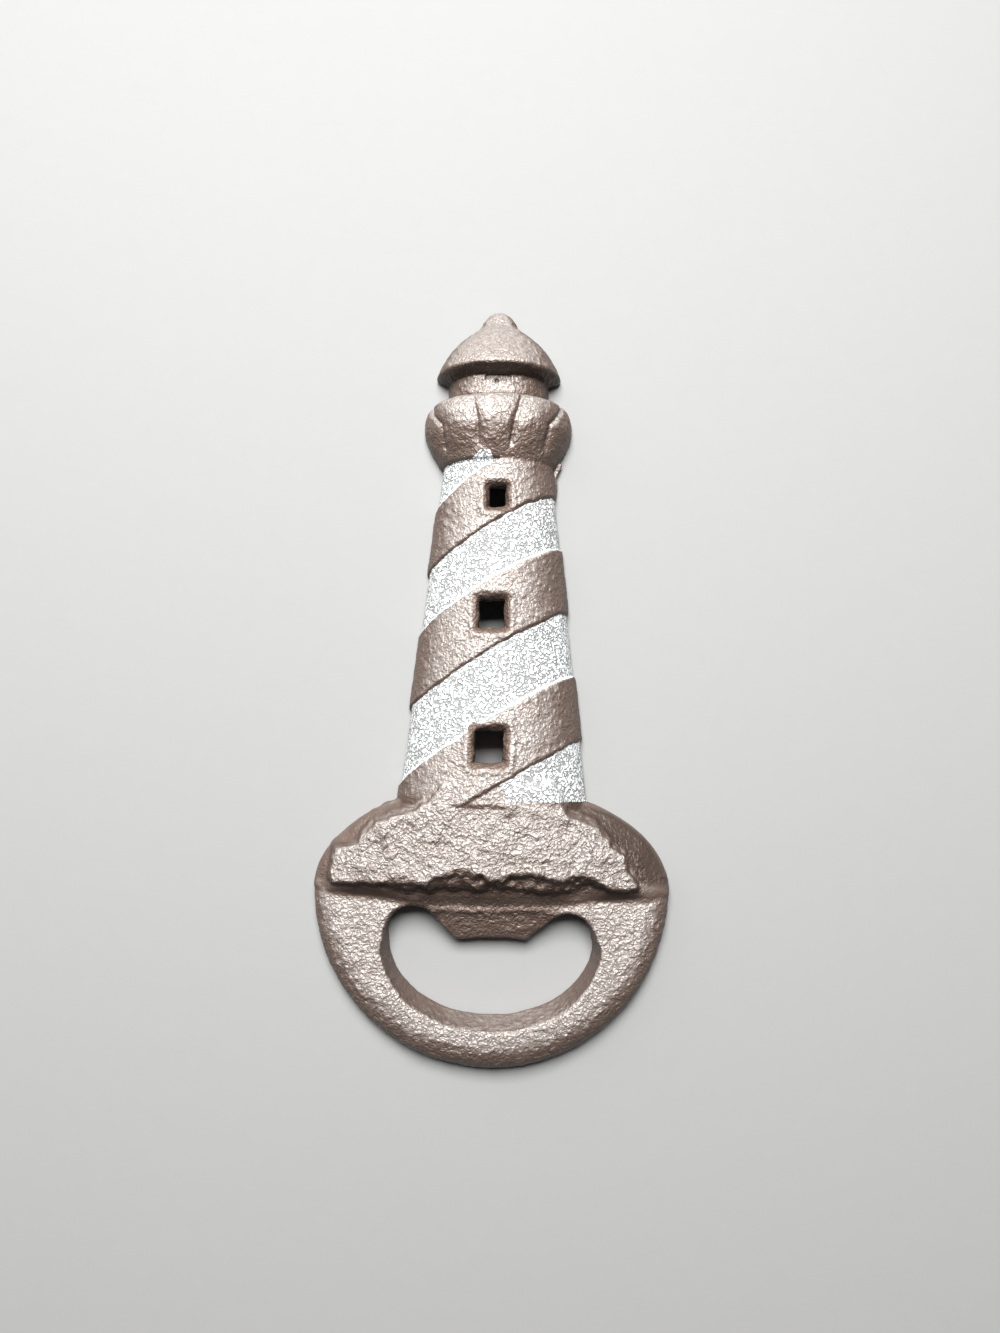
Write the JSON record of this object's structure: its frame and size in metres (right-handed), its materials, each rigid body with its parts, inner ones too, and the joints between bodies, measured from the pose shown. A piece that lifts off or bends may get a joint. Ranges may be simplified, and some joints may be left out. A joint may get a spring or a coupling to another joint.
{
  "type": "souvenir bottle opener",
  "caption": "Cast-iron souvenir bottle opener shaped as a striped lighthouse on a rock, with a ring and lip for crown caps at its foot.",
  "frame": {"origin": "centre of the bounding box in X and Y, on the plane of the flat back", "axes": "+X to the right across the ring, +Y up the tower to the finial, +Z out of the decorated front"},
  "size_m": [0.07, 0.152, 0.0133],
  "materials": {
    "bronze_paint": "bronze-brown metallic paint on rough sand-cast iron",
    "white_paint": "thin hand-brushed white paint with grey pits"
  },
  "bodies": {
    "root": {"opener_ring": "bronze_paint", "cap_lip": "bronze_paint", "rock_base": "bronze_paint", "tower_wall": "bronze_paint", "white_stripe_1": "white_paint", "white_stripe_2": "white_paint", "white_stripe_3": "white_paint", "white_stripe_4": "white_paint", "gallery": "bronze_paint", "lantern_room": "bronze_paint", "roof": "bronze_paint", "finial": "bronze_paint"}
  },
  "joints": []
}
